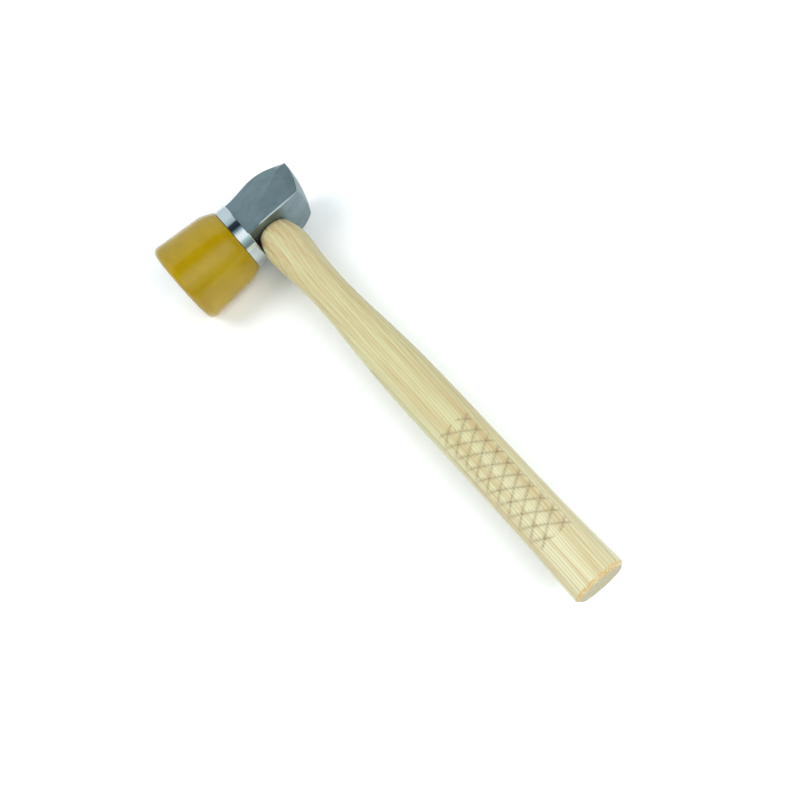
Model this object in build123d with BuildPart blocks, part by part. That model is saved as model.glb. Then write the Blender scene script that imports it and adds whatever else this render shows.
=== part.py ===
from build123d import *
import os
from math import cos, pi, radians, sin, sqrt, tan

# Combination mallet: forged steel head with a square poll, a screw-on urethane
# face cast round a canister of loose steel shot, and a wedged ash handle.
# Millimetres. The mallet lies on its cheek: +X from the urethane to the poll,
# +Y out of the top of the head, +Z up from the bench.

# Urethane face
face_dia = 60.0            # largest diameter, near the striking end
face_length = 49.0
face_shoulder_dia = 55.6   # where the straight taper ends and the rear curve starts
face_taper_length = 35.0
face_rear_dia = 48.2
face_edge_radius = 4.5
face_crown = 0.9           # how far the striking face bulges
rear_bulge = 0.75          # how far the rear curve stands out from its chord

# Bright ring and shot canister, turned in one piece
ring_dia = 47.0
ring_length = 8.6
ring_chamfer = 0.5
tube_dia = 36.6
tube_wall = 2.6
chamber_length = 31.0
chamber_floor = 3.0        # wall between the thread bore and the shot
cap_thickness = 3.2
cap_seat_step = 1.2        # how far the cap's seat is wider than the chamber
anchor_dia = 41.0          # ribs that hold the cast urethane
anchor_width = 2.2
anchor_count = 2
seal_section = 1.5

# Steel head
body_length = 49.6         # ring to the crown of the striking face
body_side = 33.0           # width and depth of the section at the ring
ring_top_step = 1.0        # how much lower the top is than the bottom is deep at the ring
knee_from_poll = 22.4      # where the taper to the poll starts
knee_top = 18.5            # height of the top above the head's axis at the knee
knee_half_width = 16.8
taper_from_poll = 11.5
taper_top = 17.7
taper_bottom_step = 1.9    # how much shallower the bottom is there than at the ring
taper_half_width = 15.0
poll_height = 24.2
poll_width = 22.6
poll_rise = 3.2            # centre of the striking face above the head's axis
poll_tilt = 13.0           # degrees, striking face turned towards the handle
poll_crown_radius = 75.0
poll_edge = 0.7
ridge_height = 1.5         # low ridge along each cheek
ridge_at_taper = 7.7       # height of the ridge above the head's axis where the taper steepens
ridge_at_poll = 2.4        # how far below the top corner the ridge runs out
ridge_run_out = 0.1        # what is left of the ridge at the ring and at the poll
body_edge_radius = 1.1     # rounding of the four long corners
flare_length = 4.0         # concave blend from the top and bottom to the collar
flare_inset = 1.3          # how far short of the cheeks the blend stops
flare_sink = 0.5           # how far the blend's thin end lies inside the body
spigot_dia = 24.0
spigot_length = 7.6
spigot_chamfer = 1.2
bore_relief = 0.8          # clear space past the end of the spigot

# Eye and handle
eye_from_poll = 35.4
eye_mouth = (20.4, 16.4)   # length along the head, width across it
eye_waist = (18.8, 15.0)
eye_top = (21.6, 18.0)
eye_run_out = 1.0          # how far the eye's loft runs past the bottom face
handle_length = 334.0      # head axis to the butt
handle_proud = 1.6         # tenon standing out of the top of the eye
shoulder_gap = 0.3
butt_chamfer = 2.1
oval_power = 2.35          # 2 is an ellipse, more is squarer
oval_steps = 16
# distance from the head's axis, width along the head, thickness across it
handle_stations = [
    (20.0, 25.6, 21.4),
    (24.0, 27.6, 22.2),
    (29.0, 30.0, 22.7),
    (34.5, 30.8, 22.7),
    (46.0, 28.6, 21.7),
    (62.0, 26.0, 20.4),
    (84.0, 24.4, 19.5),
    (106.0, 25.6, 19.8),
    (128.0, 28.0, 20.8),
    (152.0, 30.3, 22.0),
    (180.0, 31.2, 22.7),
    (215.0, 30.8, 22.7),
    (255.0, 30.3, 22.5),
    (290.0, 30.3, 22.4),
    (315.0, 31.2, 22.9),
]
butt_width = 32.2
butt_thickness = 23.4
shoulder_width = 22.8
shoulder_thickness = 19.8

# Wedges
wedge_depth = 24.0
wedge_top = 3.4
wedge_tip = 1.0
wedge_width = 17.6
ring_wedge_dia = 11.0
ring_wedge_depth = 11.0
ring_wedge_wall = 1.6
ring_wedge_tip = 0.5

# Shot
shot_dia = 6.0
shot_gap = 0.1             # clear space between neighbouring balls
shot_layers = 4
shot_rings = 2             # rings of balls round the middle one

# Fits
thread_fit = 0.06
eye_fit = 0.05
wedge_fit = 0.04
cast_fit = 0.02
cap_fit = 0.02
shot_end_gap = 0.3

# Where things lie
poll_tip = poll_height / 2 * tan(radians(poll_tilt)) - poll_height**2 / (8 * poll_crown_radius)
head_span = face_length + ring_length + body_length + poll_tip
poll_x = head_span / 2 - poll_tip
ring_x = poll_x - body_length
face_x = ring_x - ring_length
eye_x = poll_x - eye_from_poll
axis_y = (handle_length - face_dia / 2) / 2
axis_z = face_dia / 2
half_side = body_side / 2

along_head = Plane(origin=(0, axis_y, axis_z), x_dir=(0, 1, 0), z_dir=(1, 0, 0))
down_handle = Plane(origin=(eye_x, axis_y, axis_z), x_dir=(1, 0, 0), z_dir=(0, -1, 0))
through_axis = Plane(origin=(0, axis_y, axis_z), x_dir=(1, 0, 0), z_dir=(0, -1, 0))
head_axis = Axis((0, axis_y, axis_z), (1, 0, 0))
tenon_axis = Axis((eye_x, axis_y, axis_z), (0, 1, 0))
poll_plane = Plane(
    origin=(poll_x, axis_y + poll_rise, axis_z),
    x_dir=(sin(radians(poll_tilt)), cos(radians(poll_tilt)), 0),
    z_dir=(cos(radians(poll_tilt)), -sin(radians(poll_tilt)), 0),
)

# What follows from those sizes
flare_radius = ring_dia / 2 - ring_chamfer
ring_top = half_side - ring_top_step
flare_end = (ring_x + flare_length, ring_top - flare_sink)
knee_x = poll_x - knee_from_poll
taper_x = poll_x - taper_from_poll
taper_bottom = half_side - taper_bottom_step
middle_x = (ring_x + knee_x) / 2
middle_top = (ring_top + knee_top) / 2
middle_half_width = (half_side + knee_half_width) / 2
tenon_top = knee_top + handle_proud
eye_mouth_at = half_side + eye_run_out
shoulder_at = half_side + shoulder_gap
eye_sections = [(eye_mouth_at, eye_mouth), (0, eye_waist), (-tenon_top, eye_top)]
handle_sections = [
    (shoulder_at, shoulder_width, shoulder_thickness),
    *handle_stations,
    (handle_length, butt_width, butt_thickness),
]
# plane, top, bottom, half width, height of the ridge, how far the ridge stands out
head_sections = [
    (along_head.offset(ring_x), ring_top, half_side, half_side, 0, ridge_run_out),
    (along_head.offset(middle_x), middle_top, half_side, middle_half_width, 0, ridge_height / 2),
    (along_head.offset(knee_x), knee_top, half_side, knee_half_width, 0, ridge_height),
    (along_head.offset(taper_x), taper_top, taper_bottom, taper_half_width, ridge_at_taper, ridge_height),
    (
        poll_plane.offset(poll_edge),
        poll_height / 2,
        poll_height / 2,
        poll_width / 2,
        poll_height / 2 - ridge_at_poll,
        ridge_run_out,
    ),
]
chamber_x = ring_x - spigot_length - bore_relief - chamber_floor
chamber_dia = tube_dia - 2 * tube_wall
cap_dia = chamber_dia + 2 * cap_seat_step
tube_end_x = chamber_x - chamber_length - cap_thickness
seal_x = tube_end_x + cap_thickness / 2
rib_x = [face_x - (rib + 1) * (face_x - tube_end_x) / (anchor_count + 1) for rib in range(anchor_count)]
face_end_x = face_x - face_length + face_crown
flat_radius = face_dia / 2 - face_edge_radius
crown_radius = (flat_radius**2 + face_crown**2) / (2 * face_crown)
crown_middle = (
    face_end_x - face_crown + crown_radius - sqrt(crown_radius**2 - flat_radius**2 / 4),
    flat_radius / 2,
)
edge_inset = face_edge_radius * (1 - sqrt(0.5))
rear_curve_middle = (
    (face_x + face_end_x + face_taper_length) / 2,
    (face_rear_dia + face_shoulder_dia) / 4 + rear_bulge,
)

os.makedirs("parts", exist_ok=True)


def oval_points(width, thickness):
    """Points round a section of the handle, an oval a little squarer than an ellipse."""
    points = []
    for step in range(oval_steps):
        angle = 2 * pi * step / oval_steps
        across = abs(cos(angle)) ** (2 / oval_power)
        over = abs(sin(angle)) ** (2 / oval_power)
        x_sign = 1 if cos(angle) >= 0 else -1
        y_sign = 1 if sin(angle) >= 0 else -1
        points.append((x_sign * across * width / 2, y_sign * over * thickness / 2))
    return points


def wedge_outline(gap, over):
    """Side view of the wooden wedge; gap widens it and over lengthens it into its kerf."""
    spread = over * (wedge_top - wedge_tip) / wedge_depth / 2
    Polygon(
        (tenon_top + over, wedge_top / 2 + gap + spread),
        (tenon_top + over, -wedge_top / 2 - gap - spread),
        (tenon_top - wedge_depth - gap, -wedge_tip / 2 - gap),
        (tenon_top - wedge_depth - gap, wedge_tip / 2 + gap),
        align=None,
    )


def ring_wedge_outline(gap, over):
    """Half section of the ring wedge; gap widens it and over lengthens it into its slot."""
    middle = (ring_wedge_dia - ring_wedge_wall) / 2
    spread = over * (ring_wedge_wall - ring_wedge_tip) / ring_wedge_depth / 2
    Polygon(
        (middle - ring_wedge_wall / 2 - gap - spread, tenon_top + over),
        (middle + ring_wedge_wall / 2 + gap + spread, tenon_top + over),
        (middle + ring_wedge_tip / 2 + gap, tenon_top - ring_wedge_depth - gap),
        (middle - ring_wedge_tip / 2 - gap, tenon_top - ring_wedge_depth - gap),
        align=None,
    )


# Concave blend from the head's top and bottom up to the collar, cut flat at the cheeks
with BuildPart() as collar_flare:
    with BuildSketch(through_axis):
        with BuildLine():
            Line((ring_x, 0), (ring_x, flare_radius))
            TangentArc((ring_x, flare_radius), flare_end, tangent=(0, -1))
            Line(flare_end, (flare_end[0], 0))
            Line((flare_end[0], 0), (ring_x, 0))
        make_face()
    revolve(axis=head_axis)
    with BuildSketch(along_head.offset(ring_x)):
        Rectangle(ring_dia, body_side - 2 * flare_inset)
    extrude(amount=flare_length, mode=Mode.INTERSECT)

# Steel head: forged body with its eye, collar flare and threaded spigot
with BuildPart() as head_body:
    for plane, top, bottom, half_width, ridge_y, ridge_out in head_sections:
        with BuildSketch(plane) as section:
            Polygon(
                (top, -half_width),
                (top, half_width),
                (ridge_y, half_width + ridge_out),
                (-bottom, half_width),
                (-bottom, -half_width),
                (ridge_y, -half_width - ridge_out),
                align=None,
            )
            across = section.vertices().sort_by(Axis.X)
            fillet(across[:2] + across[-2:], radius=body_edge_radius)
    loft()
    # crowned striking face, on a ball whose poles lie across the head
    with Locations(poll_plane.offset(-poll_crown_radius)):
        Sphere(poll_crown_radius, rotation=(90, 0, 0), mode=Mode.INTERSECT)
    fillet(head_body.faces().sort_by(Axis.X)[-1].edges(), radius=poll_edge)
    # concave blend up to the collar
    add(collar_flare.part)
    # spigot that the canister screws on
    with BuildSketch(along_head.offset(ring_x)):
        Circle(spigot_dia / 2)
    extrude(amount=-spigot_length)
    chamfer(head_body.faces().sort_by(Axis.X)[0].edges(), length=spigot_chamfer)
    # eye, narrowest at its waist
    for place, size in eye_sections:
        with BuildSketch(down_handle.offset(place)):
            Ellipse(size[0] / 2, size[1] / 2)
    loft(mode=Mode.SUBTRACT)
head_body.part.label = "head_body"
export_step(head_body.part, "parts/head_body.step")

# Canister: bright ring, thread bore, shot tube and the ribs that hold the urethane
with BuildPart() as shot_canister:
    with BuildSketch(along_head.offset(face_x)):
        Circle(ring_dia / 2)
    extrude(amount=ring_length)
    chamfer(shot_canister.edges().filter_by(GeomType.CIRCLE), length=ring_chamfer)
    with BuildSketch(along_head.offset(tube_end_x)):
        Circle(tube_dia / 2)
    extrude(amount=face_x - tube_end_x + 1)
    for rib in range(anchor_count):
        with BuildSketch(along_head.offset(rib_x[rib])):
            Circle(anchor_dia / 2)
        extrude(amount=anchor_width)
    with BuildSketch(along_head.offset(ring_x - spigot_length - bore_relief)):
        Circle(spigot_dia / 2 + thread_fit)
    extrude(amount=spigot_length + bore_relief, mode=Mode.SUBTRACT)
    with BuildSketch(along_head.offset(chamber_x - chamber_length - cap_thickness)):
        Circle(chamber_dia / 2)
    extrude(amount=chamber_length + cap_thickness, mode=Mode.SUBTRACT)
    with BuildSketch(along_head.offset(tube_end_x)):
        Circle(cap_dia / 2)
    extrude(amount=cap_thickness, mode=Mode.SUBTRACT)
shot_canister.part.label = "shot_canister"
export_step(shot_canister.part, "parts/shot_canister.step")

# Cap pressed into the mouth of the canister, with a groove for its seal
with BuildPart() as canister_cap:
    with BuildSketch(along_head.offset(tube_end_x)):
        Circle(cap_dia / 2 - cap_fit)
    extrude(amount=cap_thickness - cap_fit)
    with BuildSketch(along_head.offset(seal_x - seal_section / 2)):
        Circle(cap_dia / 2 + 1)
        Circle(cap_dia / 2 - cap_fit - seal_section, mode=Mode.SUBTRACT)
    extrude(amount=seal_section, mode=Mode.SUBTRACT)
canister_cap.part.label = "canister_cap"
export_step(canister_cap.part, "parts/canister_cap.step")

# O-ring in the cap's groove
with BuildPart() as cap_seal:
    with BuildSketch(through_axis):
        with Locations((seal_x, cap_dia / 2 - cap_fit - seal_section / 2)):
            Circle(seal_section / 2 - cap_fit)
    revolve(axis=head_axis)
cap_seal.part.label = "cap_seal"
export_step(cap_seal.part, "parts/cap_seal.step")

# Urethane face, cast round the canister
with BuildPart() as urethane_face:
    with BuildSketch(through_axis):
        with BuildLine():
            Line((face_x, 0), (face_x, face_rear_dia / 2))
            rear_curve = ThreePointArc(
                (face_x, face_rear_dia / 2),
                rear_curve_middle,
                (face_end_x + face_taper_length, face_shoulder_dia / 2),
            )
            taper = Line(rear_curve @ 1, (face_end_x + face_edge_radius, face_dia / 2))
            edge = ThreePointArc(
                taper @ 1,
                (face_end_x + edge_inset, face_dia / 2 - edge_inset),
                (face_end_x, face_dia / 2 - face_edge_radius),
            )
            crown = ThreePointArc(edge @ 1, crown_middle, (face_end_x - face_crown, 0))
            Line(crown @ 1, (face_x, 0))
        make_face()
    revolve(axis=head_axis)
    # room for the canister
    with BuildSketch(along_head.offset(tube_end_x - cast_fit)):
        Circle(tube_dia / 2 + cast_fit)
    extrude(amount=face_x - tube_end_x + 1, mode=Mode.SUBTRACT)
    for rib in range(anchor_count):
        with BuildSketch(along_head.offset(rib_x[rib] - cast_fit)):
            Circle(anchor_dia / 2 + cast_fit)
        extrude(amount=anchor_width + 2 * cast_fit, mode=Mode.SUBTRACT)
urethane_face.part.label = "urethane_face"
export_step(urethane_face.part, "parts/urethane_face.step")

# Loose steel shot, in close-packed layers across the chamber
shot_pitch = shot_dia + shot_gap
layer_step = shot_pitch * sqrt(2 / 3)
ball_places = []
for layer in range(shot_layers):
    shifted = layer % 2
    for column in range(-shot_rings - 1, shot_rings + 2):
        for row in range(-shot_rings - 1, shot_rings + 2):
            across = (column + row / 2 + shifted / 2) * shot_pitch
            over = (row * sqrt(3) / 2 + shifted / (2 * sqrt(3))) * shot_pitch
            if sqrt(across**2 + over**2) <= shot_rings * shot_pitch + 0.001:
                ball_places.append((across, over, layer * layer_step))
shot_length = (shot_layers - 1) * layer_step + shot_dia
shot_travel = chamber_length - shot_length - 2 * shot_end_gap
with BuildPart() as shot_charge:
    with Locations(along_head.offset(chamber_x - shot_end_gap - shot_length + shot_dia / 2)):
        with Locations(*ball_places):
            Sphere(shot_dia / 2)
shot_charge.part.label = "shot_charge"
export_step(shot_charge.part, "parts/shot_charge.step")
print("balls", len(ball_places), "shot travel", round(shot_travel, 3))

# Handle: tenon, shoulder, waisted neck and oval grip
with BuildPart() as handle:
    for place, width, thickness in handle_sections:
        with BuildSketch(down_handle.offset(place)):
            with BuildLine():
                Spline(*oval_points(width, thickness), periodic=True)
            make_face()
    loft()
    chamfer(handle.faces().sort_by(Axis.Y)[0].edges(), length=butt_chamfer)
    for place, size in eye_sections:
        with BuildSketch(down_handle.offset(place)):
            Ellipse(size[0] / 2 - eye_fit, size[1] / 2 - eye_fit)
    loft()
    # saw kerf for the wooden wedge and the cut that the ring wedge makes
    with BuildSketch(Plane(origin=(eye_x, axis_y, axis_z), x_dir=(0, 1, 0), z_dir=(1, 0, 0))):
        wedge_outline(wedge_fit, 1)
    extrude(amount=eye_top[0], both=True, mode=Mode.SUBTRACT)
    with BuildSketch(Plane(origin=(eye_x, axis_y, axis_z), x_dir=(1, 0, 0), z_dir=(0, 0, 1))):
        ring_wedge_outline(wedge_fit, 1)
    revolve(axis=tenon_axis, mode=Mode.SUBTRACT)
handle.part.label = "handle"
export_step(handle.part, "parts/handle.step")

# Wooden wedge, driven along the tenon
with BuildPart() as wooden_wedge:
    with BuildSketch(Plane(origin=(eye_x, axis_y, axis_z), x_dir=(0, 1, 0), z_dir=(1, 0, 0))):
        wedge_outline(0, 0)
    extrude(amount=wedge_width / 2, both=True)
    with BuildSketch(Plane(origin=(eye_x, axis_y, axis_z), x_dir=(1, 0, 0), z_dir=(0, 0, 1))):
        ring_wedge_outline(wedge_fit, 1)
    revolve(axis=tenon_axis, mode=Mode.SUBTRACT)
wooden_wedge.part.label = "wooden_wedge"
export_step(wooden_wedge.part, "parts/wooden_wedge.step")

# Steel ring wedge, driven into the end of the tenon across the wooden wedge
with BuildPart() as ring_wedge:
    with BuildSketch(Plane(origin=(eye_x, axis_y, axis_z), x_dir=(1, 0, 0), z_dir=(0, 0, 1))):
        ring_wedge_outline(0, 0)
    revolve(axis=tenon_axis)
ring_wedge.part.label = "ring_wedge"
export_step(ring_wedge.part, "parts/ring_wedge.step")
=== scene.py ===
import math
import bpy
from mathutils import Matrix, Vector


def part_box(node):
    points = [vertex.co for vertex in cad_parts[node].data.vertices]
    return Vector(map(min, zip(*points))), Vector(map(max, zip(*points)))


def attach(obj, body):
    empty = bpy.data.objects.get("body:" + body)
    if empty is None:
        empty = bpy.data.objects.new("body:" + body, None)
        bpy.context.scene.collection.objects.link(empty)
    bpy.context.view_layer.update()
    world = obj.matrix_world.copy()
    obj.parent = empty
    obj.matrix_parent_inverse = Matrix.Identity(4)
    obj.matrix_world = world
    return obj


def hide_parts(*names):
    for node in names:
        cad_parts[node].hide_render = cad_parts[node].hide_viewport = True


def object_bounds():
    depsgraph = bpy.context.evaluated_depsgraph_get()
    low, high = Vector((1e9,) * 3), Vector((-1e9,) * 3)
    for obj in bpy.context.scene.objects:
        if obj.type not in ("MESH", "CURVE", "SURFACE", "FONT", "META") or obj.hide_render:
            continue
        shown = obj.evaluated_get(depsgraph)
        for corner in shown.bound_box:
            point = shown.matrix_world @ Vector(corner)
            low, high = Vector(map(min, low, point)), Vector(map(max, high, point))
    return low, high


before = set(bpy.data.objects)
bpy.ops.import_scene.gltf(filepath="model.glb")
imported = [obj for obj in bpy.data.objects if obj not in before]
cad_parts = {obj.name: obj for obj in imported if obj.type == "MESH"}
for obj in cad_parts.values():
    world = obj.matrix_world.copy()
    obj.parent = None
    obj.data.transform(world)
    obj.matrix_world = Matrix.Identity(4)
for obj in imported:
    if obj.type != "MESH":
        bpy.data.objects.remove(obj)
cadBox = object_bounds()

mm = 0.001

# places, all from the frame
faceLow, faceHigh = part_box("urethane_face")
headLow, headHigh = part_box("head_body")
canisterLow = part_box("shot_canister")[0]
handleLow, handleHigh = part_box("handle")
axisY = (faceLow.y + faceHigh.y) / 2      # the head's axis, along X
axisZ = (faceLow.z + faceHigh.z) / 2
eyeX = (handleLow.x + handleHigh.x) / 2   # the handle's axis, along Y
onHandle = (eyeX, axisY, axisZ)
onHead = (0, axisY, axisZ)
middle = (cadBox[0] + cadBox[1]) / 2


def toLinear(hexColour):
    values = [int(hexColour[i:i + 2], 16) / 255 for i in (1, 3, 5)]
    return [v / 12.92 if v <= 0.04045 else ((v + 0.055) / 1.055) ** 2.4 for v in values] + [1]


def addNode(tree, kind, settings=None, links=None, **options):
    node = tree.nodes.new(kind)
    for name, value in options.items():
        setattr(node, name, value)
    for socket, value in (settings or {}).items():
        node.inputs[socket].default_value = value
    for socket, source in (links or {}).items():
        tree.links.new(source, node.inputs[socket])
    return node


def setRamp(node, stops):
    ramp = node.color_ramp
    ramp.interpolation = "EASE"
    while len(ramp.elements) < len(stops):
        ramp.elements.new(1)
    for element, (place, hexColour) in zip(ramp.elements, stops):
        element.position = place
        element.color = toLinear(hexColour)
    return node.outputs["Color"]


def newMaterial(name):
    material = bpy.data.materials.new(name)
    material.use_nodes = True
    tree = material.node_tree
    tree.nodes.clear()
    shader = addNode(tree, "ShaderNodeBsdfPrincipled")
    addNode(tree, "ShaderNodeOutputMaterial", links={"Surface": shader.outputs["BSDF"]})
    place = addNode(tree, "ShaderNodeTexCoord").outputs["Object"]
    return material, tree, shader, place


def inMillimetres(tree, place, centre, scale=(1, 1, 1)):
    # the place from a centre, in mm times the scale, so that a scale is in cycles to the mm
    moved = addNode(tree, "ShaderNodeVectorMath", {1: centre}, {0: place}, operation="SUBTRACT")
    sized = addNode(tree, "ShaderNodeVectorMath", {1: [s / mm for s in scale]}, {0: moved.outputs[0]},
                    operation="MULTIPLY")
    return sized.outputs[0]


def deselectAll():
    if bpy.context.object and bpy.context.object.mode != "OBJECT":
        bpy.ops.object.mode_set(mode="OBJECT")
    bpy.ops.object.select_all(action="DESELECT")


def makeActive(piece):
    deselectAll()
    piece.select_set(True)
    bpy.context.view_layer.objects.active = piece


def settle(piece, name, angle=35):
    # named, with its place in its mesh, and crisp only where it turns by more than the angle
    piece.name = name
    piece.data.name = name
    makeActive(piece)
    bpy.ops.object.transform_apply(location=True, rotation=True, scale=True)
    bpy.ops.object.shade_smooth_by_angle(angle=math.radians(angle))


cameraView = {
    "azimuth": 5.5, "elevation": 61.7, "roll": 35.95,   # degrees
    "distance": 0.5672, "lens": 43.0, "sensor": 36,
    "target": (0.0041, -0.0235),                        # metres from the middle of the mallet
}


def addCamera():
    data = bpy.data.cameras.new("camera")
    data.lens = cameraView["lens"]
    data.sensor_width = cameraView["sensor"]
    data.clip_start = 0.01
    camera = bpy.data.objects.new("camera", data)
    bpy.context.scene.collection.objects.link(camera)
    turn = (Matrix.Rotation(-math.radians(cameraView["azimuth"]), 4, "Z")
            @ Matrix.Rotation(math.radians(90 - cameraView["elevation"]), 4, "X")
            @ Matrix.Rotation(-math.radians(cameraView["roll"]), 4, "Z"))
    target = Vector((middle.x + cameraView["target"][0], middle.y + cameraView["target"][1], axisZ))
    back = turn.to_3x3() @ Vector((0, 0, 1))
    camera.matrix_world = Matrix.Translation(target + back * cameraView["distance"]) @ turn
    bpy.context.scene.camera = camera
    print("stage: camera")


studio = {
    "floor": "#FFFFFF", "floorRoughness": 0.9, "floorSize": 8,
    # watts, metres across, and metres from the middle of the mallet
    "lights": {"key": (7, 0.9, (-0.5, 0.5, 1.1)), "fill": (9, 0.9, (0.35, -0.75, 0.9))},
    "tent": 1.25,
    "card": "#20282C", "cardFrom": 0.6, "cardFull": 0.8, "cardShare": 0.85,
    # light tent seen from the head's axis, in degrees from the +Y side over the top, with its grey
    "tentStops": [
        (-180, "#F0F4E0"), (-178, "#A0A4A0"), (-170, "#A8A8A4"), (-60, "#C4CED0"), (50, "#D2DEE0"),
        (73, "#B4C4C8"), (83, "#2C363C"), (99, "#262E36"), (109, "#7C909C"), (116, "#D0E0E8"),
        (124, "#FFFFFF"), (138, "#FFFFFF"), (148, "#B4CCCA"), (158, "#8FA3A0"), (167, "#788380"),
        (174, "#8C9690"), (177, "#F4F8E4"), (180, "#F0F4E0"),
    ],
}


def addFloor():
    bpy.ops.mesh.primitive_plane_add(size=studio["floorSize"], location=(middle.x, middle.y, cadBox[0].z))
    floor = bpy.context.object
    settle(floor, "floor")
    # white card: matt and plain, so it shows nothing but soft shadows
    material, _, shader, _ = newMaterial("matt_white_card")
    shader.inputs["Base Color"].default_value = toLinear(studio["floor"])
    shader.inputs["Roughness"].default_value = studio["floorRoughness"]
    floor.data.materials.append(material)


def addLights():
    for name, (power, size, where) in studio["lights"].items():
        data = bpy.data.lights.new(name, "AREA")
        data.energy = power
        data.shape = "DISK"
        data.size = size
        light = bpy.data.objects.new(name, data)
        light.location = Vector(where) + middle
        light.visible_glossy = False      # the tent alone shows in the bright parts
        light.rotation_euler = (middle - light.location).to_track_quat("-Z", "Y").to_euler()
        bpy.context.scene.collection.objects.link(light)


def addTent():
    world = bpy.data.worlds.new("light_tent")
    bpy.context.scene.world = world
    world.use_nodes = True
    tree = world.node_tree
    tree.nodes.clear()
    direction = addNode(tree, "ShaderNodeTexCoord").outputs["Generated"]
    split = addNode(tree, "ShaderNodeSeparateXYZ", links={0: direction})
    angle = addNode(tree, "ShaderNodeMath", links={0: split.outputs["Z"], 1: split.outputs["Y"]},
                    operation="ARCTAN2")
    turn = addNode(tree, "ShaderNodeMapRange", {1: -math.pi, 2: math.pi}, {0: angle.outputs[0]})
    ramp = addNode(tree, "ShaderNodeValToRGB", links={0: turn.outputs[0]})
    colour = setRamp(ramp, [((degrees + 180) / 360, grey) for degrees, grey in studio["tentStops"]])
    # a dark card beyond the poll, for the poll's side of the steel to mirror
    card = addNode(tree, "ShaderNodeMapRange",
                   {1: studio["cardFrom"], 2: studio["cardFull"], 4: studio["cardShare"]},
                   {0: split.outputs["X"]})
    mixed = addNode(tree, "ShaderNodeMix", {7: toLinear(studio["card"])}, {0: card.outputs[0], 6: colour},
                    data_type="RGBA")
    glow = addNode(tree, "ShaderNodeBackground", {"Strength": studio["tent"]}, {"Color": mixed.outputs[2]})
    addNode(tree, "ShaderNodeOutputWorld", links={"Surface": glow.outputs[0]})


def addStudio():
    bpy.context.scene.view_settings.view_transform = "Standard"
    addFloor()
    addLights()
    addTent()
    print("stage: studio")


castFace = {                                   # mm
    "around": 160,                             # points round each ring
    "crown": 0.9, "crownRings": (0.3, 2, 5, 9, 13, 17, 21, 24),
    "edgeRadius": 4.5, "edgeSteps": 12,
    "flashAt": 4.6,                            # a faint mould line ends the rounding
    "flash": ((0.15, 0.07), (0.4, -0.03)),     # how far past that, and how proud
    "diameter": 60, "taperLength": 35, "taperSteps": 8, "shoulder": 55.6,
    "rearDiameter": 48.2, "rearBulge": 0.75, "rearSteps": 12, "rearRound": 0.7, "roundSteps": 4,
    "bore": 36.64, "boreFit": 0.02, "ribs": 2, "ribDiameter": 41.04, "ribWidth": 2.24,
}


def castFaceOutline():
    # (mm from the striking end, radius in mm), from the middle of the crown round to the floor of the bore
    look = castFace
    length = (faceHigh.x - faceLow.x) / mm
    outer, edge, crown = look["diameter"] / 2, look["edgeRadius"], look["crown"]
    flat = outer - edge
    points = [(crown * (r / flat) ** 2, r) for r in look["crownRings"]]
    for step in range(look["edgeSteps"] + 1):
        turn = math.radians(90 * step / look["edgeSteps"])
        points.append((crown + edge * (1 - math.cos(turn)), flat + edge * math.sin(turn)))
    points += [(crown + look["flashAt"] + past, outer + proud) for past, proud in look["flash"]]
    # straight taper to the shoulder
    shoulderAt, shoulder = crown + look["taperLength"], look["shoulder"] / 2
    startAt, start = points[-1]
    for step in range(1, look["taperSteps"] + 1):
        share = step / look["taperSteps"]
        points.append((startAt + (shoulderAt - startAt) * share, start + (shoulder - start) * share))
    # bulging curve in to the ring, with a small round at its end
    rear, corner = look["rearDiameter"] / 2, look["rearRound"]
    for step in range(1, look["rearSteps"] + 1):
        share = step / look["rearSteps"]
        bulge = look["rearBulge"] * 4 * share * (1 - share)
        points.append((shoulderAt + (length - corner - shoulderAt) * share,
                       shoulder + (rear - shoulder) * share + bulge))
    for step in range(1, look["roundSteps"] + 1):
        turn = math.radians(90 * step / look["roundSteps"])
        points.append((length - corner * (1 - math.sin(turn)), rear - corner * (1 - math.cos(turn))))
    # bore, with the grooves that the canister's ribs leave
    bore, rib = look["bore"] / 2, look["ribDiameter"] / 2
    depth = length - (faceHigh.x - canisterLow.x) / mm
    points.append((length, bore))
    for number in range(look["ribs"]):
        near = length - (number + 1) * (length - depth) / (look["ribs"] + 1) + look["ribWidth"]
        far = near - look["ribWidth"]
        points += [(near, bore), (near, rib), (far, rib), (far, bore)]
    bottom = depth - look["boreFit"]
    return points + [(bottom, bore), (bottom, look["crownRings"][0])]


def buildCastFace():
    # drawn out ring by ring about the head's axis, from one pole to the other
    points = castFaceOutline()
    firstX, firstRadius = points[0]
    deselectAll()
    bpy.ops.mesh.primitive_circle_add(vertices=castFace["around"], radius=firstRadius * mm, fill_type="NGON",
                                      location=(faceLow.x + firstX * mm, axisY, axisZ),
                                      rotation=(0, math.pi / 2, 0))
    piece = bpy.context.object
    bpy.ops.object.transform_apply(location=True, rotation=True, scale=True)
    bpy.ops.object.mode_set(mode="EDIT")
    bpy.ops.mesh.select_all(action="SELECT")
    bpy.ops.mesh.select_mode(type="EDGE")
    for (x, radius), (nextX, nextRadius) in zip(points, points[1:]):
        bpy.ops.mesh.extrude_edges_move(TRANSFORM_OT_translate={"value": ((nextX - x) * mm, 0, 0)})
        bpy.ops.transform.resize(value=(1, nextRadius / radius, nextRadius / radius),
                                 center_override=(faceLow.x + nextX * mm, axisY, axisZ))
    bpy.ops.mesh.edge_face_add()
    faceOutwards()
    settle(piece, "cast_urethane_face")
    print("stage: urethane face,", len(piece.data.polygons), "faces")
    return piece


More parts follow.
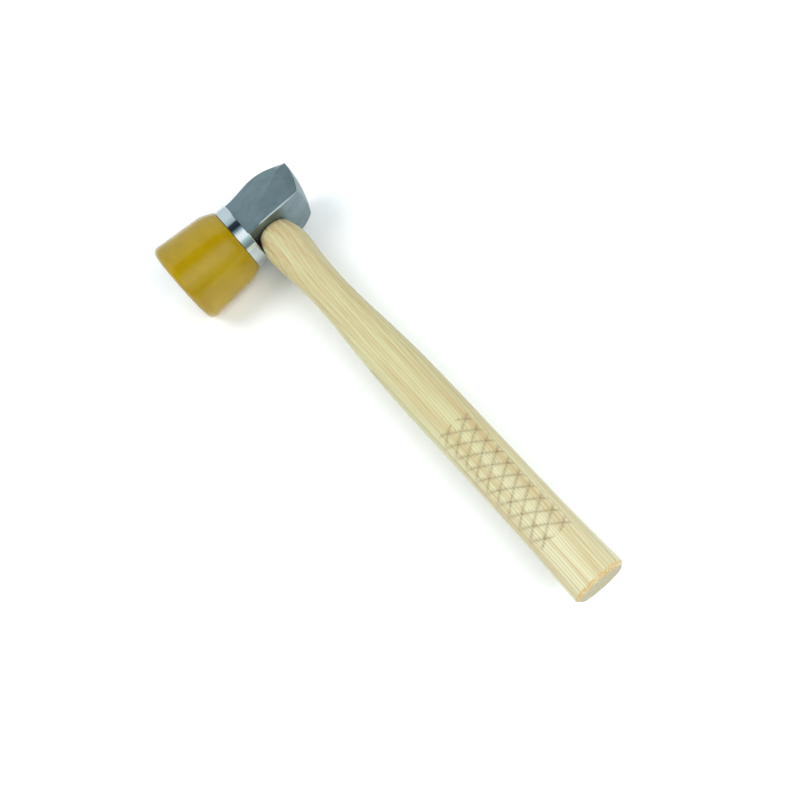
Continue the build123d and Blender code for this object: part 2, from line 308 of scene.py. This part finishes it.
handle = {                             # mm
    "shoulder": (16.85, 22.6, 19.6),   # from the head's axis, width along the head, thickness
    "bulb": [18.2, 20, 22, 24.5, 28, 33, 40],
    "neckStep": 15,                    # between the rings of the plain lengths
    "gripStart": 210, "gripEnd": 306, "gripStep": 3.4,
    "endStep": 8,                      # between the last rings and the lattice or the butt
    "around": 24,                      # points round each ring of the cage
    "swell": 0.17,                     # what the smoothing takes off again
    "buttChamfer": 2.1, "buttHold": 1.2, "buttRings": (0.9, 0.6, 0.25),
    "tenon": (19.6, 15.6), "tenonWaist": 0.955, "tenonFlare": 1.13, "tenonHold": 1.5,
    "tenonRings": (0.85, 0.5),
    "tenonBelow": 0.25,                # the wood ends this far under the wedges' tops
    "crisp": 0.9, "soft": 0.7,         # creases of the cut ends and of the shoulder's rim
    "smoothing": 3,
}

lattice = {                            # mm
    "firstCrossing": 217.4, "pitch": 9.1, "rowSpacing": 6.7,
    "crossings": 10,
    "overrun": (8.6, 4.6),             # past the outer rows, on the striking side and the poll side
    "endOverrun": 3.4,
    "endFade": 3, "sideFade": 1.6,     # how abruptly the cuts end
    # the last two widths are of painted shade: narrow along each cut, and broad beside it so that the cells
    # look lighter in the middle
    "cutWidth": 2.7, "cutDepth": 0.55, "cutShadeWidth": 1.3, "pillowShadeWidth": 4.4,
    "crossingShadowRadius": (1.0, 1.5),          # radius of the painted shadow at the crossings, in the even rows and in the odd ones
    "cutShade": 0.4, "crossingShadow": 0.5, "pillowShade": 0.3,   # shares of the painted shade colour: along the cuts, in spots at their crossings, and broad beside them
    "leastHeight": 4,                  # only the broad sides are cut
}


def clamp01(value):
    return max(0.0, min(1.0, value))


def smoothStep(value):
    value = clamp01(value)
    return value * value * (3 - 2 * value)


def cutAt(along, across):
    # depth share of the crossed cuts and share of their painted shade, at mm from the head's axis and mm
    # across
    pitch, spacing = lattice["pitch"], lattice["rowSpacing"]
    slope = pitch / 2 / spacing
    start = lattice["firstCrossing"]
    end = start + (lattice["crossings"] - 1) * pitch
    outside = max(start - along, along - end, 0) / lattice["endOverrun"]
    beyond = max(abs(across) - spacing, 0) / lattice["overrun"][0 if across < 0 else 1]
    fade = smoothStep((1 - outside) * lattice["endFade"]) * smoothStep((1 - beyond) * lattice["sideFade"])
    if fade == 0:
        return 0, 0
    nearest = pitch
    for direction in (1, -1):
        offset = (along - start - pitch / 2 - direction * slope * across) / pitch
        nearest = min(nearest, abs(offset - round(offset)) * pitch / math.hypot(1, slope))
    # painted shade along each cut, and a broad painted shade beside it
    depth, cutShade, pillowShade = [smoothStep(1 - nearest / (lattice[width] / 2)) * fade
                             for width in ("cutWidth", "cutShadeWidth", "pillowShadeWidth")]
    # painted shadow in spots where the cuts cross
    row = round(across / spacing)
    shift = 0 if row % 2 else pitch / 2
    step = (along - start - shift) / pitch
    knot = math.hypot((step - round(step)) * pitch, across - row * spacing)
    crossingShadow = smoothStep(1 - knot / lattice["crossingShadowRadius"][row % 2]) * fade
    return depth, clamp01(cutShade * lattice["cutShade"] + crossingShadow * lattice["crossingShadow"] + pillowShade * lattice["pillowShade"])


def faceOutwards():
    bpy.ops.mesh.select_all(action="SELECT")
    bpy.ops.mesh.normals_make_consistent(inside=False)
    bpy.ops.object.mode_set(mode="OBJECT")


def handleRings(buttAt):
    # mm from the head's axis, closer together where the shape turns and along the lattice
    rings = list(handle["bulb"])
    while rings[-1] < handle["gripStart"]:
        rings.append(rings[-1] + handle["neckStep"])
    rings[-1] = handle["gripStart"]
    while rings[-1] < handle["gripEnd"]:
        rings.append(rings[-1] + handle["gripStep"])
    chamferAt = buttAt - handle["buttChamfer"]
    return rings + [rings[-1] + handle["endStep"], buttAt - handle["endStep"],
                    chamferAt - handle["buttHold"], chamferAt]


def buildCage(rings):
    # a straight tube, ring by ring, wider than the handle
    deselectAll()
    last = handle["shoulder"][0]
    bpy.ops.mesh.primitive_circle_add(vertices=handle["around"], radius=handleHigh.x - handleLow.x,
                                      location=(eyeX, axisY - last * mm, axisZ),
                                      rotation=(math.pi / 2, 0, 0))
    piece = bpy.context.object
    bpy.ops.object.transform_apply(location=True, rotation=True, scale=True)
    bpy.ops.object.mode_set(mode="EDIT")
    bpy.ops.mesh.select_all(action="SELECT")
    for ring in rings:
        bpy.ops.mesh.extrude_region_move(TRANSFORM_OT_translate={"value": (0, -(ring - last) * mm, 0)})
        last = ring
    faceOutwards()
    # drawn in on to the CAD handle
    wrap = piece.modifiers.new("wrap", "SHRINKWRAP")
    wrap.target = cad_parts["handle"]
    wrap.wrap_method = "PROJECT"
    wrap.use_negative_direction = True
    wrap.use_positive_direction = False
    wrap.offset = handle["swell"] * mm
    makeActive(piece)
    bpy.ops.object.modifier_apply(modifier="wrap")
    return piece


def selectRing(piece, along):
    # the ring of points at mm from the head's axis
    bpy.ops.object.mode_set(mode="OBJECT")
    for part in (piece.data.polygons, piece.data.edges, piece.data.vertices):
        part.foreach_set("select", [False] * len(part))
    for vertex in piece.data.vertices:
        vertex.select = abs(vertex.co.y - (axisY - along * mm)) < 0.02 * mm
    bpy.ops.object.mode_set(mode="EDIT")
    bpy.ops.mesh.select_mode(type="VERT")
    bpy.ops.mesh.select_mode(type="EDGE")


def extrudeRing(up, wide, thick):
    # the selected ring again, mm up the handle, with its width and thickness times a share
    bpy.ops.mesh.extrude_region_move(TRANSFORM_OT_translate={"value": (0, up * mm, 0)})
    bpy.ops.transform.resize(value=(wide, 1, thick), center_override=onHandle)


def addEnds(piece, buttAt, last):
    # chamfered butt, closed by shrinking rings
    selectRing(piece, last)
    bpy.ops.transform.edge_crease(value=handle["crisp"])
    chamfer = buttAt - last
    width = (handleHigh.x - handleLow.x) / mm
    thickness = (handleHigh.z - handleLow.z) / mm
    extrudeRing(-chamfer, 1 - 2 * chamfer / width, 1 - 2 * chamfer / thickness)
    bpy.ops.transform.edge_crease(value=handle["crisp"])
    for share in handle["buttRings"]:
        extrudeRing(0, share, share)
    bpy.ops.mesh.edge_face_add()
    # shoulder's rim, then the tenon through the eye
    shoulderAt, shoulderWidth, shoulderThickness = handle["shoulder"]
    selectRing(piece, shoulderAt)
    bpy.ops.transform.edge_crease(value=handle["soft"])
    extrudeRing(0, handle["tenon"][0] / shoulderWidth, handle["tenon"][1] / shoulderThickness)
    bpy.ops.transform.edge_crease(value=handle["soft"])
    tenonTop = (handleHigh.y - axisY) / mm - handle["tenonBelow"]
    hold = handle["tenonHold"]
    for up, swell in ((shoulderAt, handle["tenonWaist"]), (tenonTop - hold, handle["tenonFlare"]), (hold, 1)):
        extrudeRing(up, swell, swell)
    bpy.ops.transform.edge_crease(value=handle["crisp"])
    for share in handle["tenonRings"]:
        extrudeRing(0, share, share)
    bpy.ops.mesh.edge_face_add()
    faceOutwards()


def cutLattice(piece):
    # anti-slip lattice, cut into both broad sides; the painted shade of the cuts stays in the mesh for the
    # wood
    places = [((axisY - v.co.y) / mm, (v.co.x - eyeX) / mm, abs(v.co.z - axisZ) / mm)
              for v in piece.data.vertices]
    shares = [cutAt(along, across) if height > lattice["leastHeight"] else (0, 0)
              for along, across, height in places]
    cuts = piece.vertex_groups.new(name="cuts")
    for index, (depth, _) in enumerate(shares):
        if depth > 0:
            cuts.add([index], depth, "REPLACE")
    carve = piece.modifiers.new("carve", "DISPLACE")
    carve.vertex_group = "cuts"
    carve.direction = "NORMAL"
    carve.mid_level = 0
    carve.strength = -lattice["cutDepth"] * mm
    bpy.ops.object.modifier_apply(modifier="carve")
    # painted shade of the cuts, kept in the mesh for the wood's colour
    cutShade = piece.data.attributes.new("cutShade", "FLOAT", "POINT")
    cutShade.data.foreach_set("value", [dark for _, dark in shares])


def buildHandle():
    buttAt = (axisY - handleLow.y) / mm
    rings = handleRings(buttAt)
    piece = buildCage(rings)
    addEnds(piece, buttAt, rings[-1])
    smooth = piece.modifiers.new("smooth", "SUBSURF")
    smooth.levels = smooth.render_levels = handle["smoothing"]
    bpy.ops.object.modifier_apply(modifier="smooth")
    cutLattice(piece)
    settle(piece, "ash_handle")
    print("stage: handle,", len(piece.data.polygons), "faces")
    return piece


ashLook = {
    "pale": "#C9C294", "line": "#9C8858", "deep": "#B99B6A", "fibre": "#D6D1A8", "sapwood": "#DAD3AE",
    # the dark brown #77664A is painted shade for the lattice cuts
    "streak": "#B0845C", "cutShade": "#77664A", "endGrain": "#A9A488", "sawn": "#C79C55", "fleck": "#7F7659",
    "ringWidth": 1.5,          # mm between growth rings
    # one ring as shares of the line's colour: the porous early wood, then the plain late wood
    "ring": [(0, "#606060"), (0.12, "#E0E0E0"), (0.35, "#8A8A8A"), (0.65, "#2A2A2A"), (0.92, "#000000"),
             (1, "#606060")],
    "faintest": 0.35,          # strength of the faintest ring
    "pith": (13, 0, -9),       # mm from the handle's axis, centre of the growth rings
    "lean": 0.035,             # how fast the rings' centre wanders along the handle
    "stray": 7.0,              # mm, how far a ring strays from its circle
    # noise: cycles to the mm across, along and through the handle, then detail and roughness
    "patterns": {
        "stray": ((0.045, 0.0075, 0.045), 2.0, 0.45), "fibres": ((2.4, 0.035, 2.4), 4.0, 0.6),
        "pores": ((4.5, 0.28, 4.5), 2.0, 0.5), "broad": ((0.22, 0.008, 0.22), 3.0, 0.5),
        "streaks": ((0.42, 0.03, 0.42), 3.0, 0.5), "torn": ((0.7, 0.7, 0.7), 4.0, 0.7),
        "flecks": ((1.6, 1.6, 1.6), 3.0, 0.5),
    },
    # where a colour starts and is full, with the shares of it there: by the height of a noise,
    # by mm along the handle, or by how squarely the surface faces along the handle
    "masks": {
        "sapwood": ("along", -190, -310, 0, 1), "broad": ("broad", 0.4, 0.66, 0, 0.75),
        "fibre": ("fibres", 0.4, 0.75, 0, 0.6), "pore": ("pores", 0.6, 0.72, 0, 0.7),
        "streak": ("streaks", 0.5, 0.68, 0, 0.8), "nearHead": ("along", -60, -18, 0, 1),
        "broken": ("fibres", 0.35, 0.6, 1, 0.45), "torn": ("torn", 0.38, 0.62, 0.15, 0.9),
        "chamfer": ("facing", 0.6, 0.7, 0, 1), "end": ("facing", 0.85, 0.95, 0, 0.8),
        "fleck": ("flecks", 0.52, 0.68, 0, 1),
    },
    # colours from the first coat to the last, each by one mask or by two multiplied
    "coats": [
        ("sapwood", "sapwood", None), ("line", "ring", "ringStrength"), ("deep", "broad", None),
        ("fibre", "fibre", None), ("deep", "pore", "ring"),
        # the coat after the streaks is painted shade in the lattice cuts, broken up by the fibres
        ("streak", "streak", "nearHead"), ("cutShade", "paintedCutShade", "broken"),
        ("sawn", "chamfer", "torn"), ("endGrain", "end", None), ("fleck", "fleck", "end"),
    ],
    "roughness": 0.5, "ior": 1.5, "bump": 0.25, "bumpHeight": 0.2,   # mm
}

# the wedge is a darker hardwood, without the handle's streaks and without the painted shade of the handle's
# cuts
wedgeLook = {
    **ashLook, "pale": "#C4A274", "line": "#8F6C42", "endGrain": "#86684A", "sawn": "#93734F",
    "coats": [coat for coat in ashLook["coats"] if coat[0] not in ("streak", "cutShade")],
}


def growthRings(tree, look, inMm, stray):
    # rings round a wandering pith, each with its own strength
    stray = addNode(tree, "ShaderNodeVectorMath", {1: (0.5, 0.5, 0.5)}, {0: stray}, operation="SUBTRACT")
    stray = addNode(tree, "ShaderNodeVectorMath", {"Scale": look["stray"]}, {0: stray.outputs[0]},
                    operation="SCALE")
    bent = addNode(tree, "ShaderNodeVectorMath", links={0: inMm, 1: stray.outputs[0]}, operation="ADD")
    off = addNode(tree, "ShaderNodeVectorMath", {1: look["pith"]}, {0: bent.outputs[0]}, operation="SUBTRACT")
    parts = addNode(tree, "ShaderNodeSeparateXYZ", links={0: off.outputs[0]})
    leaned = addNode(tree, "ShaderNodeMath", {1: look["lean"]},
                     {0: parts.outputs["Y"], 2: parts.outputs["Z"]}, operation="MULTIPLY_ADD")
    flat = addNode(tree, "ShaderNodeCombineXYZ", {"Y": 0.0},
                   {"X": parts.outputs["X"], "Z": leaned.outputs[0]})
    radius = addNode(tree, "ShaderNodeVectorMath", links={0: flat.outputs[0]}, operation="LENGTH")
    rings = addNode(tree, "ShaderNodeMath", {1: look["ringWidth"]}, {0: radius.outputs["Value"]},
                    operation="DIVIDE")
    phase = addNode(tree, "ShaderNodeMath", links={0: rings.outputs[0]}, operation="FRACT")
    count = addNode(tree, "ShaderNodeMath", links={0: rings.outputs[0]}, operation="FLOOR")
    varied = addNode(tree, "ShaderNodeTexWhiteNoise", links={"W": count.outputs[0]}, noise_dimensions="1D")
    profile = addNode(tree, "ShaderNodeValToRGB", links={0: phase.outputs[0]})
    strength = addNode(tree, "ShaderNodeMapRange", {3: look["faintest"], 4: 1.0},
                       {0: varied.outputs["Value"]})
    return setRamp(profile, look["ring"]), strength.outputs[0]


def ashWood(name, look):
    # planed ash under a thin clear coat: pale, ring-porous, with straight lines and long flames
    material, tree, shader, place = newMaterial(name)
    noise = {}
    for pattern, (scale, detail, roughness) in look["patterns"].items():
        at = inMillimetres(tree, place, onHandle, scale)
        noise[pattern] = addNode(tree, "ShaderNodeTexNoise",
                                 {"Scale": 1.0, "Detail": detail, "Roughness": roughness}, {"Vector": at})
    inMm = inMillimetres(tree, place, onHandle)
    value = {pattern: node.outputs["Fac"] for pattern, node in noise.items()}
    value["along"] = addNode(tree, "ShaderNodeSeparateXYZ", links={0: inMm}).outputs["Y"]
    normal = addNode(tree, "ShaderNodeNewGeometry").outputs["True Normal"]
    parts = addNode(tree, "ShaderNodeSeparateXYZ", links={0: normal})
    facing = addNode(tree, "ShaderNodeMath", links={0: parts.outputs["Y"]}, operation="ABSOLUTE")
    value["facing"] = facing.outputs[0]
    share = {}
    for mask, (source, low, high, atLow, atHigh) in look["masks"].items():
        ranged = addNode(tree, "ShaderNodeMapRange", {1: low, 2: high, 3: atLow, 4: atHigh},
                         {0: value[source]})
        share[mask] = ranged.outputs[0]
    share["ring"], share["ringStrength"] = growthRings(tree, look, inMm, noise["stray"].outputs["Color"])
    # painted shade of the lattice cuts, read from the mesh
    share["paintedCutShade"] = addNode(tree, "ShaderNodeAttribute", attribute_name="cutShade").outputs["Fac"]
    paint = addNode(tree, "ShaderNodeRGB").outputs[0]
    paint.default_value = toLinear(look["pale"])
    for colour, first, second in look["coats"]:
        cover = share[first]
        if second:
            cover = addNode(tree, "ShaderNodeMath", links={0: cover, 1: share[second]},
                            operation="MULTIPLY").outputs[0]
        paint = addNode(tree, "ShaderNodeMix", {7: toLinear(look[colour])}, {0: cover, 6: paint},
                        data_type="RGBA").outputs[2]
    tree.links.new(paint, shader.inputs["Base Color"])
    shader.inputs["Roughness"].default_value = look["roughness"]
    shader.inputs["IOR"].default_value = look["ior"]
    bump = addNode(tree, "ShaderNodeBump", {"Strength": look["bump"], "Distance": look["bumpHeight"] * mm},
                   {"Height": value["fibres"]})
    tree.links.new(bump.outputs[0], shader.inputs["Normal"])
    return material


steelLook = {
    # the near white #E6EEF0 is edge wear and a painted highlight along the long edges
    "dark": "#7C8A91", "light": "#8F9FA4", "wearAndHighlight": "#E6EEF0",
    "roughness": (0.36, 0.52),
    "blotches": (0.12, 0.16, 0.16), "grinding": (0.25, 5.0, 5.0),   # cycles to the mm
    "blotchBump": (0.25, 0.6), "grindBump": (0.12, 0.1),            # strength, and height in mm
    "edge": 1.0,               # mm, the rounding that the edge wear and painted highlight are found by
    "wearAndHighlightFrom": 0.2, "wearAndHighlightFull": 0.42,
    "collar": 16,              # mm from the spigot's end to the end of the collar, which has no edge wear or painted highlight
    "collarFade": 3,
}


def forgedSteel():
    # forged carbon steel, ground and oil blacked: satin blue-grey, with its edges worn bright and painted
    # with a highlight
    look = steelLook
    material, tree, shader, place = newMaterial("ground_forged_steel")
    centre = ((headLow.x + headHigh.x) / 2, axisY, axisZ)
    blotchAt = inMillimetres(tree, place, centre, look["blotches"])
    blotch = addNode(tree, "ShaderNodeTexNoise", {"Scale": 1.0, "Detail": 5.0, "Roughness": 0.6},
                     {"Vector": blotchAt}).outputs["Fac"]
    grindAt = inMillimetres(tree, place, centre, look["grinding"])
    grind = addNode(tree, "ShaderNodeTexNoise", {"Scale": 1.0, "Detail": 3.0}, {"Vector": grindAt})
    ramp = addNode(tree, "ShaderNodeValToRGB", links={0: blotch})
    paint = setRamp(ramp, [(0.3, look["dark"]), (0.7, look["light"])])
    # the long edges are worn bright and painted with a highlight: there the normal points half way between a
    # cheek and a side
    rounded = addNode(tree, "ShaderNodeBevel", {"Radius": look["edge"] * mm}, samples=6)
    facing = addNode(tree, "ShaderNodeSeparateXYZ", links={0: rounded.outputs[0]})
    halfWay = addNode(tree, "ShaderNodeMath", links={0: facing.outputs["Y"], 1: facing.outputs["Z"]},
                      operation="MULTIPLY")
    halfWay = addNode(tree, "ShaderNodeMath", links={0: halfWay.outputs[0]}, operation="ABSOLUTE")
    edges = addNode(tree, "ShaderNodeMapRange", {1: look["wearAndHighlightFrom"], 2: look["wearAndHighlightFull"]},
                    {0: halfWay.outputs[0]})
    alongHead = addNode(tree, "ShaderNodeSeparateXYZ", links={0: place}).outputs["X"]
    bodyFrom = headLow.x + look["collar"] * mm
    body = addNode(tree, "ShaderNodeMapRange", {1: bodyFrom, 2: bodyFrom + look["collarFade"] * mm},
                   {0: alongHead})
    wearAndHighlight = addNode(tree, "ShaderNodeMath", links={0: edges.outputs[0], 1: body.outputs[0]},
                   operation="MULTIPLY")
    paint = addNode(tree, "ShaderNodeMix", {7: toLinear(look["wearAndHighlight"])}, {0: wearAndHighlight.outputs[0], 6: paint},
                    data_type="RGBA").outputs[2]
    tree.links.new(paint, shader.inputs["Base Color"])
    shader.inputs["Metallic"].default_value = 1
    smoothest, roughest = look["roughness"]
    rough = addNode(tree, "ShaderNodeMapRange", {1: 0.3, 2: 0.7, 3: smoothest, 4: roughest}, {0: blotch})
    tree.links.new(rough.outputs[0], shader.inputs["Roughness"])
    strength, height = look["grindBump"]
    bump = addNode(tree, "ShaderNodeBump", {"Strength": strength, "Distance": height * mm},
                   {"Height": grind.outputs["Fac"]})
    strength, height = look["blotchBump"]
    bump = addNode(tree, "ShaderNodeBump", {"Strength": strength, "Distance": height * mm},
                   {"Height": blotch, "Normal": bump.outputs[0]})
    tree.links.new(bump.outputs[0], shader.inputs["Normal"])
    return material


# node: name, colour, roughness and tool marks to the mm
metalLooks = {
    "shot_canister": ("bright_turned_steel", "#CDD6DA", 0.1, 3.0),   # fine turned, mirrors the tent
    "canister_cap": ("plain_turned_steel", "#8F9496", 0.35, 2.0),    # as turned, grey
    "ring_wedge": ("rolled_steel", "#7C8082", 0.4, 1.0),             # dull from the rolling
    "shot_charge": ("hardened_steel_shot", "#9DA1A3", 0.22, 0.6),    # tumbled, dully bright
}


def turnedSteel(name, hexColour, roughness, marksToMm):
    # lathe-turned steel: fine rings of tool marks round the head's axis
    material, tree, shader, place = newMaterial(name)
    marksAt = inMillimetres(tree, place, onHead, (marksToMm, 0.05, 0.05))
    marks = addNode(tree, "ShaderNodeTexNoise", {"Scale": 1.0, "Detail": 2.0}, {"Vector": marksAt})
    rough = addNode(tree, "ShaderNodeMapRange", {3: roughness * 0.7, 4: roughness * 1.3},
                    {0: marks.outputs["Fac"]})
    shader.inputs["Base Color"].default_value = toLinear(hexColour)
    shader.inputs["Metallic"].default_value = 1
    tree.links.new(rough.outputs[0], shader.inputs["Roughness"])
    bump = addNode(tree, "ShaderNodeBump", {"Strength": 0.15, "Distance": 0.05 * mm},
                   {"Height": marks.outputs["Fac"]})
    tree.links.new(bump.outputs[0], shader.inputs["Normal"])
    return material


amberLook = {
    "deep": "#9E8000", "light": "#A78A06", "clouds": 0.06,   # cycles to the mm
    "roughness": 0.16, "ior": 1.5,
    "scatter": 0.2, "scatterRadius": (0.006, 0.004, 0.0006),   # metres, for red, green and blue
}


def amberUrethane():
    # cast polyurethane: glossy, honey coloured and cloudy, light travels a few mm inside
    material, tree, shader, place = newMaterial("amber_cast_urethane")
    cloudAt = inMillimetres(tree, place, onHead, [amberLook["clouds"]] * 3)
    cloud = addNode(tree, "ShaderNodeTexNoise", {"Scale": 1.0, "Detail": 3.0}, {"Vector": cloudAt})
    ramp = addNode(tree, "ShaderNodeValToRGB", links={0: cloud.outputs["Fac"]})
    paint = setRamp(ramp, [(0.3, amberLook["deep"]), (0.7, amberLook["light"])])
    tree.links.new(paint, shader.inputs["Base Color"])
    shader.inputs["Roughness"].default_value = amberLook["roughness"]
    shader.inputs["IOR"].default_value = amberLook["ior"]
    shader.inputs["Subsurface Weight"].default_value = amberLook["scatter"]
    shader.inputs["Subsurface Radius"].default_value = amberLook["scatterRadius"]
    shader.inputs["Subsurface Scale"].default_value = 1.0
    return material


rubberLook = {"black": "#161616", "bloom": "#2A2A29", "patches": 0.8, "roughness": 0.6}   # cycles to the mm


def blackRubber():
    # moulded nitrile rubber: matt black with a faint bloom
    material, tree, shader, place = newMaterial("moulded_nitrile_rubber")
    bloomAt = inMillimetres(tree, place, onHead, [rubberLook["patches"]] * 3)
    bloom = addNode(tree, "ShaderNodeTexNoise", {"Scale": 1.0, "Detail": 3.0}, {"Vector": bloomAt})
    ramp = addNode(tree, "ShaderNodeValToRGB", links={0: bloom.outputs["Fac"]})
    paint = setRamp(ramp, [(0.35, rubberLook["black"]), (0.7, rubberLook["bloom"])])
    tree.links.new(paint, shader.inputs["Base Color"])
    shader.inputs["Roughness"].default_value = rubberLook["roughness"]
    return material


def dress(node, material):
    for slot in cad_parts[node].material_slots:
        slot.material = material


addCamera()
addStudio()

piece = buildHandle()
piece.data.materials.append(ashWood("planed_ash", ashLook))
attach(piece, "mallet")
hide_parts("handle")

piece = buildCastFace()
piece.data.materials.append(amberUrethane())
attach(piece, "mallet")
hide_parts("urethane_face")

dress("head_body", forgedSteel())
for node, look in metalLooks.items():
    dress(node, turnedSteel(*look))
dress("cap_seal", blackRubber())
dress("wooden_wedge", ashWood("split_hardwood", wedgeLook))
print("stage: materials")
